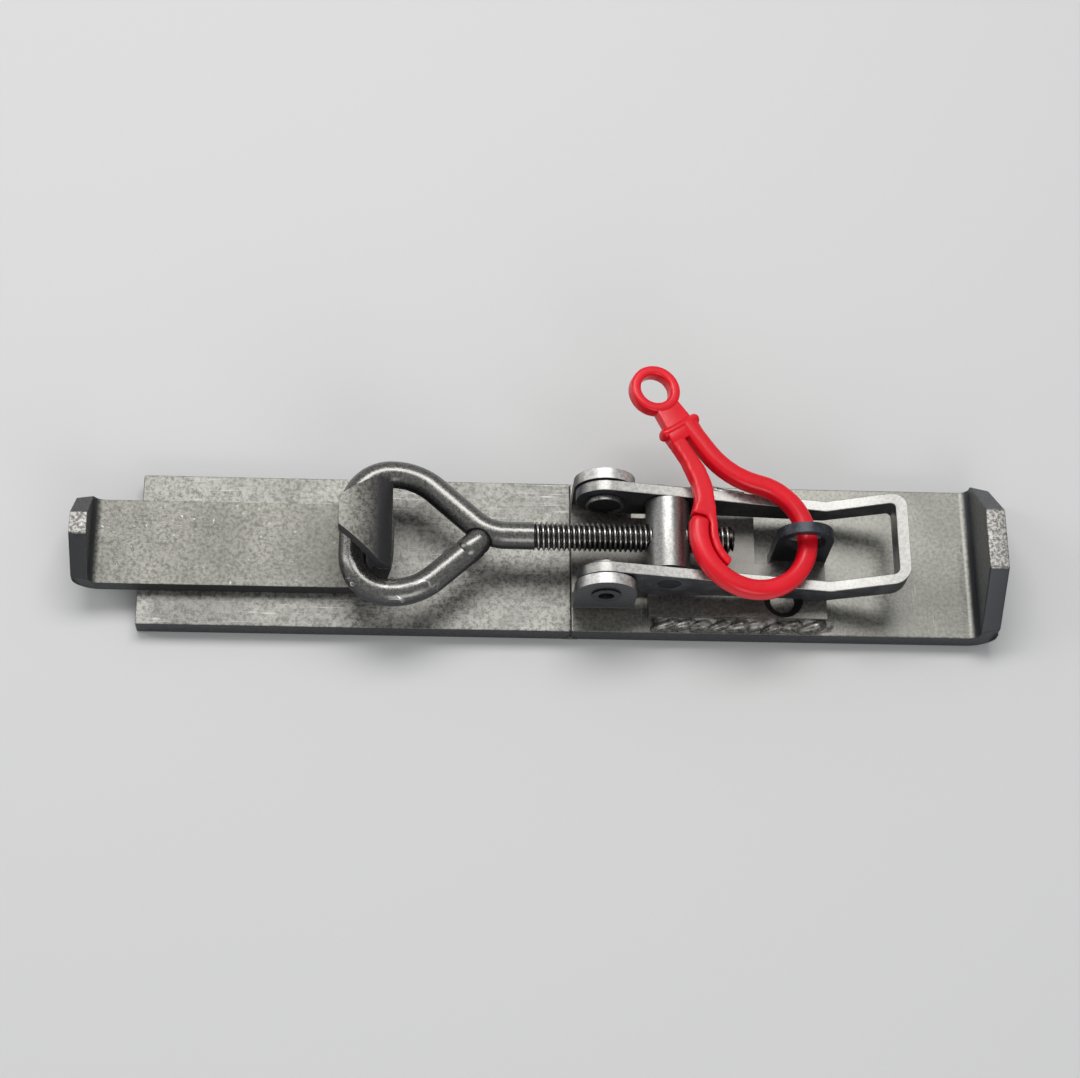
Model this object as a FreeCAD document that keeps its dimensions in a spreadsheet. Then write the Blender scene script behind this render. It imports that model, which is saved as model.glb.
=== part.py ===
"""Clamp-bar coupler lock: a sliding jaw drawn up by an over-centre latch and pinned by a snap hook.

Frame, in millimetres: origin at the middle of the base bar's underside, X along the bar towards
the fixed jaw, Y to the back edge, Z up. Every driving size is a cell of the Sizes sheet.
"""
import FreeCAD, Part
import os
import re
import Sketcher

SIZES = {
    # base bar, in two butt-welded lengths
    "bar_width": 45.0,
    "bar_thick": 6.0,
    "guide_length": 120.0,
    "jaw_bar_length": 119.7,
    "weld_prep": 2.2,
    # fixed jaw, bent up from the end of the jaw bar
    "jaw_thick": 5.6,
    "jaw_height": 25.4,
    "jaw_bend": 2.5,
    "jaw_facet_half": 8.65,
    "jaw_slope_start": 10.0,
    # slider, with its own jaw and a curled hook
    "slider_width": 25.1,
    "slider_thick": 4.75,
    "slider_end": 137.4,
    "slider_jaw_height": 23.5,
    "slider_bend": 3.0,
    "slider_facet_half": 3.05,
    "slider_slope_start": 13.0,
    "curl_place": 64.5,
    "curl_inner": 10.25,
    "curl_tip_half": 4.2,
    "curl_taper_start": 11.0,
    # latch base, folded from one sheet
    "sheet_thick": 3.1,
    "ear_outer": 17.1,
    "ear_radius": 8.5,
    "ear_bend": 2.6,
    "neck_half": 11.0,
    "plate_start": 21.3,
    "plate_end": 71.3,
    "plate_half": 18.5,
    "notch_start": 51.7,
    "notch_edge": 2.2,
    "eye_place": 63.6,
    "eye_rise": 22.8,
    "eye_radius": 7.9,
    "eye_hole": 5.2,
    "screw_place": 59.2,
    "screw_offset": 12.7,
    "screw_hole": 3.4,
    "screw_sink": 2.1,
    # weld beads along the latch base
    "front_bead_start": 22.3,
    "front_bead_end": 73.6,
    "back_bead_start": 23.0,
    "back_bead_end": 50.0,
    "bead_reach": 3.8,
    "bead_height": 2.8,
    "bead_radius": 5.0,
    # lever pivots and the rivets in them
    "pivot_place": 8.5,
    "pivot_rise": 20.8,
    "rivet_shank": 3.1,
    "rivet_head": 4.1,
    "rivet_head_thick": 0.6,
    "rivet_collar": 5.25,
    "rivet_collar_thick": 1.6,
    "rivet_dimple": 2.15,
    "rivet_dimple_deep": 2.0,
    "dish_deep": 0.6,
    # lever
    "strip_thick": 3.1,
    "arm_gap": 0.35,
    "nose_radius": 8.0,
    "lever_slope": 10.6,
    "kink_place": 71.0,
    "kink_depth": 6.6,
    "belly_place": 45.0,
    "belly_drop": 8.3,
    "lever_end": 92.2,
    "grip_rise": 8.3,
    "grip_depth": 7.5,
    "lever_corner": 4.6,
    "lever_inner_corner": 1.5,
    # barrel nut
    "barrel_place": 25.9,
    "barrel_rise": 20.2,
    "barrel_radius": 6.1,
    "trunnion_radius": 3.0,
    "barrel_gap": 0.25,
    # threaded rod and its loop
    "thread_radius": 3.97,
    "thread_start": -11.0,
    "thread_end": 44.0,
    "thread_chamfer": 1.0,
    "wire_radius": 3.75,
    "loop_left": 60.8,
    "loop_half": 17.6,
    "loop_corner": 10.5,
    "loop_shoulder": 18.0,
    "loop_neck": 13.0,
    "loop_angle": 42.0,
    "loop_tail": 27.4,
    # plastic snap hook, flat in its own tilted plane
    "snap_place": 48.9,
    "snap_offset": 0.8,
    "snap_rise": 25.0,
    "snap_tilt": 11.3,
    "snap_turn": 33.8,
    "snap_wire": 2.65,
    "snap_loop": 15.8,
    "snap_leg_angle": 42.0,
    "snap_leg_steep": 86.0,
    "snap_leg_bend": 23.0,
    "snap_nose": 140.0,
    "snap_bead": 36.8,
    "snap_bead_radius": 1.7,
    "snap_bead_half": 6.2,
    "snap_neck_half": 3.9,
    "snap_neck_thick": 3.6,
    "snap_ring_place": 49.4,
    "snap_ring_outer": 7.1,
    "snap_ring_hole": 4.3,
    "snap_ring_thick": 4.4,
    "gate_thick": 4.0,
    "gate_width": 4.3,
    "gate_inset": 1.1,
    "gate_tongue": 2.3,
    # clearances
    "run_gap": 0.05,
    "part_gap": 0.3,
    "collar_gap": 0.1,
}

DOC = FreeCAD.newDocument("CouplerLock")
SHEET = DOC.addObject("Spreadsheet::Sheet", "Sizes")
for row, (alias, value) in enumerate(SIZES.items(), start=1):
    SHEET.set(f"A{row}", alias)
    SHEET.set(f"B{row}", str(value))
    SHEET.setAlias(f"B{row}", alias)
DOC.recompute()


def formula(text):
    """The expression for a formula written in the sheet's own names."""
    return re.sub(r"[a-z_]+", lambda m: "Sizes." + m[0] if m[0] in SIZES else m[0], text)


def bind(thing, prop, text):
    thing.setExpression(prop, formula(text))


def new_body(name):
    body = DOC.addObject("PartDesign::Body", name)
    body.Label = name
    return body


def new_sketch(body, name, plane, shift=None, across=None):
    """A sketch on one of the body's own planes, moved along the normal or across it by formulas."""
    sketch = body.newObject("Sketcher::SketchObject", name)
    origin_plane = next(o for o in body.Origin.OriginFeatures if o.Role == plane)
    sketch.AttachmentSupport = [(origin_plane, "")]
    sketch.MapMode = "FlatFace"
    if shift:
        bind(sketch, "AttachmentOffset.Base.z", shift)
    for axis, text in (across or {}).items():
        bind(sketch, f"AttachmentOffset.Base.{axis}", text)
    return sketch


def value_of(text):
    return float(SHEET.evalExpression(formula(text)))


def outline(sketch, corners, closed=True):
    """Lines and arcs through corners (x, y) or (x, y, radius of the arc that ends there).

    A positive radius has its centre left of the way from the last corner, a negative one right.
    """
    places = [FreeCAD.Vector(value_of(c[0]), value_of(c[1]), 0) for c in corners]
    spans = list(range(1, len(corners))) + ([0] if closed else [])
    for span in spans:
        start, end = places[span - 1], places[span]
        if len(corners[span]) == 2:
            sketch.addGeometry(Part.LineSegment(start, end), False)
            continue
        radius = value_of(corners[span][2])
        chord = end - start
        left = FreeCAD.Vector(-chord.y, chord.x, 0).normalize()
        reach = max(radius ** 2 - (chord.Length / 2) ** 2, 0.0) ** 0.5
        side = 1 if radius > 0 else -1
        centre = (start + end) * 0.5 + left * (reach * side)
        middle = centre - left * (abs(radius) * side)
        sketch.addGeometry(Part.Arc(start, middle, end), False)
    count = len(spans)
    ends = []
    for number, span in enumerate(spans):
        turned = len(corners[span]) == 3 and value_of(corners[span][2]) < 0
        ends.append((2, 1) if turned else (1, 2))
    for number in range(count if closed else count - 1):
        after = (number + 1) % count
        joint = Sketcher.Constraint("Coincident", number, ends[number][1], after, ends[after][0])
        sketch.addConstraint(joint)
    for number, span in enumerate(spans):
        pin_corner(sketch, number, ends[number][0], corners[span - 1])
        if len(corners[span]) == 3:
            size = Sketcher.Constraint("Radius", number, abs(value_of(corners[span][2])))
            index = sketch.addConstraint(size)
            bind(sketch, f"Constraints[{index}]", f"abs({corners[span][2]})")
    if not closed:
        pin_corner(sketch, count - 1, ends[-1][1], corners[-1])
    return sketch


def pin_corner(sketch, piece, end, corner):
    """Holds one end of a sketch piece at a corner given by two formulas."""
    for kind, text in (("DistanceX", corner[0]), ("DistanceY", corner[1])):
        constraint = Sketcher.Constraint(kind, -1, 1, piece, end, value_of(text))
        index = sketch.addConstraint(constraint)
        bind(sketch, f"Constraints[{index}]", text)


def circle(sketch, x, y, radius):
    place = FreeCAD.Vector(value_of(x), value_of(y), 0)
    sketch.addGeometry(Part.Circle(place, FreeCAD.Vector(0, 0, 1), value_of(radius)), False)
    number = sketch.GeometryCount - 1
    pin_corner(sketch, number, 3, (x, y))
    index = sketch.addConstraint(Sketcher.Constraint("Radius", number, value_of(radius)))
    bind(sketch, f"Constraints[{index}]", radius)
    return sketch


def box_corners(x0, x1, y0, y1):
    return [(x0, y0), (x1, y0), (x1, y1), (x0, y1)]


def pad(body, name, sketch, length, both_ways=False, backwards=False):
    return extrude(body, "PartDesign::Pad", name, sketch, length, both_ways, backwards)


def pocket(body, name, sketch, length, both_ways=False, backwards=False):
    """A cut of the sketch through the body, which has to take something away."""
    DOC.recompute()
    before = body.Shape.Volume
    cut = extrude(body, "PartDesign::Pocket", name, sketch, length, both_ways, backwards)
    if body.Shape.Volume > before - 0.01:
        raise RuntimeError(f"{name} cuts nothing")
    return cut


def extrude(body, kind, name, sketch, length, both_ways, backwards):
    feature = body.newObject(kind, name)
    feature.Profile = sketch
    bind(feature, "Length", length)
    feature.SideType = "Symmetric" if both_ways else "One side"
    feature.Reversed = backwards
    sketch.Visibility = False
    DOC.recompute()
    return feature


def revolve(body, name, sketch):
    feature = body.newObject("PartDesign::Revolution", name)
    feature.Profile = sketch
    feature.ReferenceAxis = (sketch, ["V_Axis"])
    feature.Angle = 360
    DOC.recompute()
    return feature


def dress(body, kind, name, size, chosen):
    """A fillet or chamfer of the given size on the edges that a test picks by their middle."""
    base = body.Tip
    edges = [f"Edge{n}" for n, e in enumerate(base.Shape.Edges, start=1) if chosen(e)]
    if not edges:
        raise RuntimeError(f"{name} finds no edge")
    feature = body.newObject(kind, name)
    feature.Base = (base, edges)
    bind(feature, "Radius" if kind.endswith("Fillet") else "Size", size)
    DOC.recompute()
    return feature


def near(edge, x=None, y=None, z=None, slack=0.02):
    """Whether an edge's middle stands at the given places, each a formula or None for anywhere."""
    middle = edge.BoundBox.Center
    wanted = ((middle.x, x), (middle.y, y), (middle.z, z))
    return all(text is None or abs(at - value_of(text)) < slack for at, text in wanted)


# ---------------------------------------------------------------- base bar


def guide_bar():
    body = new_body("guide_bar")
    sketch = new_sketch(body, "guide_outline", "XZ_Plane")
    outline(sketch, [("-guide_length", "0"), ("-weld_prep", "0"), ("0", "weld_prep"),
                     ("0", "bar_thick"), ("-guide_length", "bar_thick")])
    pad(body, "guide_pad", sketch, "bar_width", both_ways=True)


def jaw_bar():
    body = new_body("jaw_bar")
    sketch = new_sketch(body, "jaw_outline", "XZ_Plane")
    inner = "jaw_bar_length - jaw_thick"
    outline(sketch, [
        ("weld_prep", "0"),
        ("jaw_bar_length - jaw_bend - jaw_thick", "0"),
        ("jaw_bar_length", "jaw_bend + jaw_thick", "jaw_bend + jaw_thick"),
        ("jaw_bar_length", "jaw_height"),
        (inner, "jaw_height"),
        (inner, "bar_thick + jaw_bend"),
        (inner + " - jaw_bend", "bar_thick", "-jaw_bend"),
        ("0", "bar_thick"),
        ("0", "weld_prep"),
    ])
    pad(body, "jaw_pad", sketch, "bar_width", both_ways=True)
    slope_corners(body, "jaw", "bar_width / 2", "jaw_facet_half", "jaw_slope_start", "jaw_height",
                  "jaw_bar_length", forwards=True)


def slope_corners(body, name, half, facet, start, top, reach, forwards):
    """Both upper corners of a jaw cut off from its full width up to the flat on top."""
    for side, sign in (("front", "-1"), ("back", "1")):
        sketch = new_sketch(body, f"{name}_{side}_slope", "YZ_Plane")
        outline(sketch, [
            (f"{sign} * ({half} + 1)", start),
            (f"{sign} * {half}", start),
            (f"{sign} * {facet}", top),
            (f"{sign} * {facet}", f"{top} + 1"),
            (f"{sign} * ({half} + 1)", f"{top} + 1"),
        ])
        pocket(body, f"{name}_{side}_cut", sketch, f"{reach} + 1", backwards=forwards)


def butt_weld_seam():
    body = new_body("butt_weld_seam")
    sketch = new_sketch(body, "seam_outline", "XZ_Plane")
    outline(sketch, [("-weld_prep", "0"), ("weld_prep", "0"), ("0", "weld_prep")])
    pad(body, "seam_pad", sketch, "bar_width", both_ways=True)


# ---------------------------------------------------------------- slider


def slider_plate():
    """A strip with a jaw bent up at one end and a half-round curl at the other."""
    body = new_body("slider_plate")
    low = "bar_thick"
    high = "bar_thick + slider_thick"
    outer_bend = "slider_bend + slider_thick"
    curl_outer = "curl_inner + slider_thick"
    sketch = new_sketch(body, "slider_outline", "XZ_Plane")
    outline(sketch, [
        (f"-slider_end + {outer_bend}", low, outer_bend),
        ("-curl_place", low),
        (f"-curl_place + {curl_outer}", f"{low} + {curl_outer}", curl_outer),
        ("-curl_place", f"{low} + 2 * ({curl_outer})", curl_outer),
        ("-curl_place", f"{high} + 2 * curl_inner"),
        ("-curl_place + curl_inner", f"{high} + curl_inner", "-curl_inner"),
        ("-curl_place", high, "-curl_inner"),
        (f"-slider_end + {outer_bend}", high),
        ("-slider_end + slider_thick", f"{high} + slider_bend", "-slider_bend"),
        ("-slider_end + slider_thick", "slider_jaw_height"),
        ("-slider_end", "slider_jaw_height"),
        ("-slider_end", f"{low} + {outer_bend}"),
    ])
    pad(body, "slider_pad", sketch, "slider_width", both_ways=True)
    slope_corners(body, "slider", "slider_width / 2", "slider_facet_half", "slider_slope_start",
                  "slider_jaw_height", "slider_end", forwards=False)
    taper_curl(body, high + " + curl_inner", curl_outer)


def taper_curl(body, middle_rise, curl_outer):
    """The curl's upper half narrowed in plan from full width to its tip."""
    half = "slider_width / 2"
    for side, sign in (("front", "-1"), ("back", "1")):
        sketch = new_sketch(body, f"curl_{side}_taper", "XY_Plane", shift=middle_rise)
        outline(sketch, [
            ("-curl_place + curl_taper_start", f"{sign} * {half}"),
            ("-curl_place", f"{sign} * curl_tip_half"),
            ("-curl_place - 1", f"{sign} * curl_tip_half"),
            ("-curl_place - 1", f"{sign} * ({half} + 1)"),
            ("-curl_place + curl_taper_start", f"{sign} * ({half} + 1)"),
        ])
        pocket(body, f"curl_{side}_cut", sketch, f"{curl_outer} + 1", backwards=True)


# ---------------------------------------------------------------- latch base and its welds


def half_round(x, z, radius, foot):
    """Corners of an upright plate from its foot to a half-round top about (x, z)."""
    return [
        (f"{x} - {radius}", foot),
        (f"{x} + {radius}", foot),
        (f"{x} + {radius}", z),
        (x, f"{z} + {radius}", radius),
        (f"{x} - {radius}", z, radius),
    ]


def latch_base_plate():
    """One folded sheet: flat plate, two pivot ears and the upright eye for the snap hook."""
    body = new_body("latch_base_plate")
    tab_left = "eye_place - eye_radius"
    ear_right = "pivot_place + ear_radius"
    sketch = new_sketch(body, "plate_outline", "XY_Plane", shift="bar_thick")
    outline(sketch, [
        (ear_right, "-neck_half"),
        ("plate_start", "-neck_half"),
        ("plate_start", "-plate_half"),
        ("plate_end", "-plate_half"),
        ("plate_end", "sheet_thick / 2"),
        (tab_left, "sheet_thick / 2"),
        (tab_left, "-notch_edge"),
        ("notch_start", "-notch_edge"),
        ("notch_start", "plate_half"),
        ("plate_start", "plate_half"),
        ("plate_start", "neck_half"),
        (ear_right, "neck_half"),
    ])
    pad(body, "plate_pad", sketch, "sheet_thick")

    ears = new_sketch(body, "ear_outline", "XZ_Plane")
    outline(ears, half_round("pivot_place", "pivot_rise", "ear_radius", "bar_thick"))
    pad(body, "ear_pad", ears, "2 * ear_outer", both_ways=True)
    between = new_sketch(body, "between_ears", "XY_Plane", shift="bar_thick + sheet_thick")
    outline(between, box_corners("pivot_place - ear_radius - 1", f"{ear_right} + 1",
                                 "-(ear_outer - sheet_thick)", "ear_outer - sheet_thick"))
    pocket(body, "between_cut", between, "pivot_rise + ear_radius", backwards=True)

    tab = new_sketch(body, "eye_outline", "XZ_Plane")
    outline(tab, half_round("eye_place", "eye_rise", "eye_radius", "bar_thick"))
    pad(body, "eye_pad", tab, "sheet_thick", both_ways=True)

    inside = "ear_outer - sheet_thick"
    floor = "bar_thick + sheet_thick"
    dress(body, "PartDesign::Fillet", "ear_inner_bend", "ear_bend",
          lambda e: near(e, x="pivot_place", y=inside, z=floor)
          or near(e, x="pivot_place", y=f"-({inside})", z=floor))
    dress(body, "PartDesign::Fillet", "ear_outer_bend", "ear_bend + sheet_thick",
          lambda e: near(e, x="pivot_place", y="ear_outer", z="bar_thick")
          or near(e, x="pivot_place", y="-ear_outer", z="bar_thick"))

    pins = new_sketch(body, "rivet_holes", "XZ_Plane")
    circle(pins, "pivot_place", "pivot_rise", "rivet_shank + run_gap")
    pocket(body, "rivet_cut", pins, "2 * ear_outer + 2", both_ways=True)
    eye = new_sketch(body, "eye_bore", "XZ_Plane")
    circle(eye, "eye_place", "eye_rise", "eye_hole")
    pocket(body, "eye_cut", eye, "2 * sheet_thick", both_ways=True)
    screw = new_sketch(body, "screw_bore", "XY_Plane", shift="bar_thick")
    circle(screw, "screw_place", "-screw_offset", "screw_hole")
    pocket(body, "screw_cut", screw, "sheet_thick", backwards=True)
    dress(body, "PartDesign::Chamfer", "screw_countersink", "screw_sink",
          lambda e: near(e, x="screw_place", y="-screw_offset", z=floor))
    dress(body, "PartDesign::Chamfer", "eye_edge_break", "sheet_thick / 6",
          lambda e: near(e, x="eye_place", z="eye_rise") and e.BoundBox.XLength > 2)


def weld_bead(name, sign, start, end):
    """A fillet weld along one long edge of the latch base, down to the bar's top."""
    body = new_body(name)
    sketch = new_sketch(body, f"{name}_outline", "YZ_Plane", shift=start)
    bulge = "bead_radius" if sign == "1" else "-bead_radius"
    outline(sketch, [
        (f"{sign} * plate_half", "bar_thick"),
        (f"{sign} * (plate_half + bead_reach)", "bar_thick"),
        (f"{sign} * plate_half", "bar_thick + bead_height", bulge),
    ])
    pad(body, f"{name}_pad", sketch, f"{end} - {start}")


# ---------------------------------------------------------------- lever, rivets and barrel


ARM_OUTER = "(ear_outer - sheet_thick - arm_gap)"
ARM_INNER = "(ear_outer - sheet_thick - arm_gap - strip_thick)"


def pivot_rivet(name, sign):
    """A headed rivet through one ear and one lever arm, dished inside and dimpled outside."""
    body = new_body(name)
    sketch = new_sketch(body, f"{name}_outline", "XY_Plane", shift="pivot_rise",
                        across={"x": "pivot_place"})
    ear_face = f"{sign} * (ear_outer + run_gap)"
    head_face = f"{sign} * (ear_outer + run_gap + rivet_head_thick)"
    dimple_floor = f"{sign} * (ear_outer + run_gap + rivet_head_thick - rivet_dimple_deep)"
    collar_face = f"{sign} * ({ARM_INNER} - collar_gap)"
    collar_back = f"{sign} * ({ARM_INNER} - collar_gap - rivet_collar_thick)"
    dish_floor = f"{sign} * ({ARM_INNER} - collar_gap - rivet_collar_thick + dish_deep)"
    outline(sketch, [
        ("0", dish_floor),
        ("rivet_head", dish_floor),
        ("rivet_collar - dish_deep", collar_back),
        ("rivet_collar", collar_back),
        ("rivet_collar", collar_face),
        ("rivet_shank", collar_face),
        ("rivet_shank", ear_face),
        ("rivet_head", ear_face),
        ("rivet_head", head_face),
        ("rivet_dimple", head_face),
        ("rivet_dimple", dimple_floor),
        ("0", dimple_floor),
    ])
    revolve(body, f"{name}_turned", sketch)


def lever():
    """A strip on edge bent into a U, kinked up at its grip end."""
    body = new_body("lever")
    top_x = "pivot_place + nose_radius * sin(lever_slope * 1deg)"
    top_z = "pivot_rise + nose_radius * cos(lever_slope * 1deg)"
    kink_z = f"{top_z} - (kink_place - ({top_x})) * tan(lever_slope * 1deg)"
    side = new_sketch(body, "lever_side", "XZ_Plane")
    outline(side, [
        ("pivot_place", "pivot_rise - nose_radius", "nose_radius"),
        ("belly_place", "pivot_rise - belly_drop"),
        ("kink_place", f"{kink_z} - kink_depth"),
        ("lever_end", f"{kink_z} + grip_rise - grip_depth"),
        ("lever_end", f"{kink_z} + grip_rise"),
        ("kink_place", kink_z),
        (top_x, top_z),
        ("pivot_place - nose_radius", "pivot_rise", "nose_radius"),
    ])
    pad(body, "lever_pad", side, f"2 * {ARM_OUTER}", both_ways=True)
    inside = new_sketch(body, "lever_inside", "XY_Plane")
    back = "lever_end - strip_thick"
    corner = "lever_inner_corner"
    outline(inside, [
        ("pivot_place - nose_radius - 1", f"-{ARM_INNER}"),
        (f"{back} - {corner}", f"-{ARM_INNER}"),
        (back, f"-{ARM_INNER} + {corner}", corner),
        (back, f"{ARM_INNER} - {corner}"),
        (f"{back} - {corner}", ARM_INNER, corner),
        ("pivot_place - nose_radius - 1", ARM_INNER),
    ])
    pocket(body, "lever_inside_cut", inside, "2 * pivot_rise", backwards=True)
    dress(body, "PartDesign::Fillet", "lever_corners", "lever_corner",
          lambda e: near(e, x="lever_end", y=ARM_OUTER) or near(e, x="lever_end", y=f"-{ARM_OUTER}"))
    pins = new_sketch(body, "lever_holes", "XZ_Plane")
    circle(pins, "pivot_place", "pivot_rise", "rivet_shank + run_gap")
    circle(pins, "barrel_place", "barrel_rise", "trunnion_radius + run_gap")
    pocket(body, "lever_holes_cut", pins, "2 * ear_outer", both_ways=True)


def barrel():
    """The round nut that turns in the lever arms, cross-bored for the threaded rod."""
    body = new_body("barrel")
    middle = new_sketch(body, "barrel_round", "XZ_Plane")
    circle(middle, "barrel_place", "barrel_rise", "barrel_radius")
    pad(body, "barrel_pad", middle, f"2 * ({ARM_INNER} - barrel_gap)", both_ways=True)
    ends = new_sketch(body, "trunnion_round", "XZ_Plane")
    circle(ends, "barrel_place", "barrel_rise", "trunnion_radius")
    pad(body, "trunnion_pad", ends, f"2 * {ARM_OUTER}", both_ways=True)
    bore = new_sketch(body, "barrel_bore", "YZ_Plane", shift="barrel_place")
    circle(bore, "0", "barrel_rise", "thread_radius + run_gap")
    pocket(body, "barrel_bore_cut", bore, "2 * barrel_radius + 2", both_ways=True)


# ---------------------------------------------------------------- rod with its loop


def loop_rod():
    """A round rod threaded at one end and bent into a closed teardrop loop at the other."""
    body = new_body("loop_rod")
    corner_x = "-loop_left + loop_corner"
    side_y = "loop_half - loop_corner"
    shoulder_x = f"{corner_x} + loop_shoulder * sin(loop_angle * 1deg)"
    shoulder_y = "loop_half - loop_shoulder * (1 - cos(loop_angle * 1deg))"
    neck_y = "loop_neck * (1 - cos(loop_angle * 1deg))"
    neck_x = f"{shoulder_x} + ({shoulder_y} - {neck_y}) / tan(loop_angle * 1deg)"
    tail_y = f"-({shoulder_y}) + (-loop_tail - ({shoulder_x})) * tan(loop_angle * 1deg)"
    path = new_sketch(body, "rod_path", "XY_Plane", shift="barrel_rise")
    outline(path, [
        ("thread_start", "0"),
        (f"{neck_x} + loop_neck * sin(loop_angle * 1deg)", "0"),
        (neck_x, neck_y, "-loop_neck"),
        (shoulder_x, shoulder_y),
        (corner_x, "loop_half", "loop_shoulder"),
        ("-loop_left", side_y, "loop_corner"),
        ("-loop_left", f"-({side_y})"),
        (corner_x, "-loop_half", "loop_corner"),
        (shoulder_x, f"-({shoulder_y})", "loop_shoulder"),
        ("-loop_tail", tail_y),
    ], closed=False)
    wire = new_sketch(body, "wire_section", "YZ_Plane", shift="thread_start")
    circle(wire, "0", "barrel_rise", "wire_radius")
    sweep(body, "rod_wire", wire, path)
    thread = new_sketch(body, "thread_round", "YZ_Plane", shift="thread_start")
    circle(thread, "0", "barrel_rise", "thread_radius")
    pad(body, "thread_pad", thread, "thread_end - thread_start")
    dress(body, "PartDesign::Chamfer", "thread_ends", "thread_chamfer",
          lambda e: near(e, x="thread_end", y="0", z="barrel_rise"))


def sweep(body, name, section, path):
    pipe = body.newObject("PartDesign::AdditivePipe", name)
    pipe.Profile = section
    pipe.Spine = path
    DOC.recompute()
    return pipe


# ---------------------------------------------------------------- snap hook


def set_in_snap_plane(body):
    """Lays a flat body into the snap hook's plane, tilted down towards the lever's grip."""
    tilt = FreeCAD.Rotation(FreeCAD.Vector(0, 1, 0), value_of("snap_tilt"))
    turn = FreeCAD.Rotation(FreeCAD.Vector(0, 0, 1), value_of("snap_turn"))
    place = FreeCAD.Vector(value_of("snap_place"), -value_of("snap_offset"), value_of("snap_rise"))
    body.Placement = FreeCAD.Placement(place, tilt.multiply(turn))
    bind(body, "Placement.Base.x", "snap_place")
    bind(body, "Placement.Base.y", "-snap_offset")
    bind(body, "Placement.Base.z", "snap_rise")


def snap_hook_body():
    """Ring end, neck, bead and the round wire of the loop, up to its open nose."""
    body = new_body("snap_hook_body")
    lead_x = "snap_loop * sin(snap_leg_angle * 1deg)"
    lead_y = "snap_loop * cos(snap_leg_angle * 1deg)"
    leg_x = f"{lead_x} + snap_leg_bend * (sin(snap_leg_angle * 1deg) - sin(snap_leg_steep * 1deg))"
    leg_y = f"{lead_y} + snap_leg_bend * (cos(snap_leg_angle * 1deg) - cos(snap_leg_steep * 1deg))"
    top_x = f"{leg_x} - (snap_bead - ({leg_y})) / tan(snap_leg_steep * 1deg)"
    path = new_sketch(body, "snap_path", "XY_Plane")
    outline(path, [
        (top_x, "snap_bead"),
        (leg_x, leg_y),
        (lead_x, lead_y, "snap_leg_bend"),
        ("snap_loop", "0", "-snap_loop"),
        ("0", "-snap_loop", "-snap_loop"),
        ("-snap_loop", "0", "-snap_loop"),
        ("snap_loop * cos(snap_nose * 1deg)", "snap_loop * sin(snap_nose * 1deg)", "-snap_loop"),
    ], closed=False)
    wire = new_sketch(body, "snap_section", "XZ_Plane", shift="-snap_bead")
    circle(wire, top_x, "0", "snap_wire")
    sweep(body, "snap_wire_sweep", wire, path)

    bead = new_sketch(body, "bead_outline", "XY_Plane")
    outline(bead, box_corners("-snap_bead_half", "snap_bead_half",
                              "snap_bead - snap_bead_radius", "snap_bead + snap_bead_radius"))
    pad(body, "bead_pad", bead, "2 * snap_wire", both_ways=True)
    neck = new_sketch(body, "neck_outline", "XY_Plane")
    outline(neck, box_corners("-snap_neck_half", "snap_neck_half", "snap_bead",
                              "snap_ring_place - snap_ring_hole"))
    pad(body, "neck_pad", neck, "snap_neck_thick", both_ways=True)
    ring = new_sketch(body, "ring_outline", "XY_Plane")
    circle(ring, "0", "snap_ring_place", "snap_ring_outer")
    pad(body, "ring_pad", ring, "snap_ring_thick", both_ways=True)
    hole = new_sketch(body, "ring_bore", "XY_Plane")
    circle(hole, "0", "snap_ring_place", "snap_ring_hole")
    pocket(body, "ring_cut", hole, "2 * snap_ring_thick", both_ways=True)
    set_in_snap_plane(body)


def snap_hook_gate():
    """The springy leg that closes the loop, its tongue lying inside the nose."""
    body = new_body("snap_hook_gate")
    root = "snap_bead - snap_bead_radius - part_gap"
    outer = "snap_loop - snap_wire - 0.8 * part_gap"
    inner = f"{outer} - gate_tongue"
    right = "-gate_inset"
    left = "-(gate_inset + gate_width)"
    nose_x = "snap_loop * cos(snap_nose * 1deg)"
    nose_y = "snap_loop * sin(snap_nose * 1deg)"
    clear = "(snap_wire + part_gap)"
    sketch = new_sketch(body, "gate_outline", "XY_Plane")
    outline(sketch, [
        (left, root),
        (left, f"{nose_y} + 6 * {clear}"),
        (f"{left} - 1.2", f"{nose_y} + 3.6 * {clear}"),
        (f"{left} - 3", f"{nose_y} + 2.3 * {clear}"),
        (nose_x, f"{nose_y} + 1.2 * {clear}"),
        (f"{nose_x} + {clear}", f"{nose_y} + 0.35 * {clear}"),
        (f"-({outer}) * cos(snap_leg_angle * 1deg)", f"({outer}) * sin(snap_leg_angle * 1deg)"),
        (f"-({outer})", "0", outer),
        (f"-({outer}) * cos(18deg)", f"-({outer}) * sin(18deg)", outer),
        (f"-({inner}) * cos(16deg)", f"-({inner}) * sin(16deg)"),
        (f"-({inner})", "0", f"-({inner})"),
        (f"-({inner}) * cos(28deg)", f"({inner}) * sin(28deg)", f"-({inner})"),
        (f"{right} - 3.6", f"{nose_y} + {clear}"),
        (f"{right} - 1.2", f"{nose_y} + 2.6 * {clear}"),
        (right, f"{nose_y} + 4.4 * {clear}"),
        (right, root),
    ])
    pad(body, "gate_pad", sketch, "gate_thick", both_ways=True)
    set_in_snap_plane(body)


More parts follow.
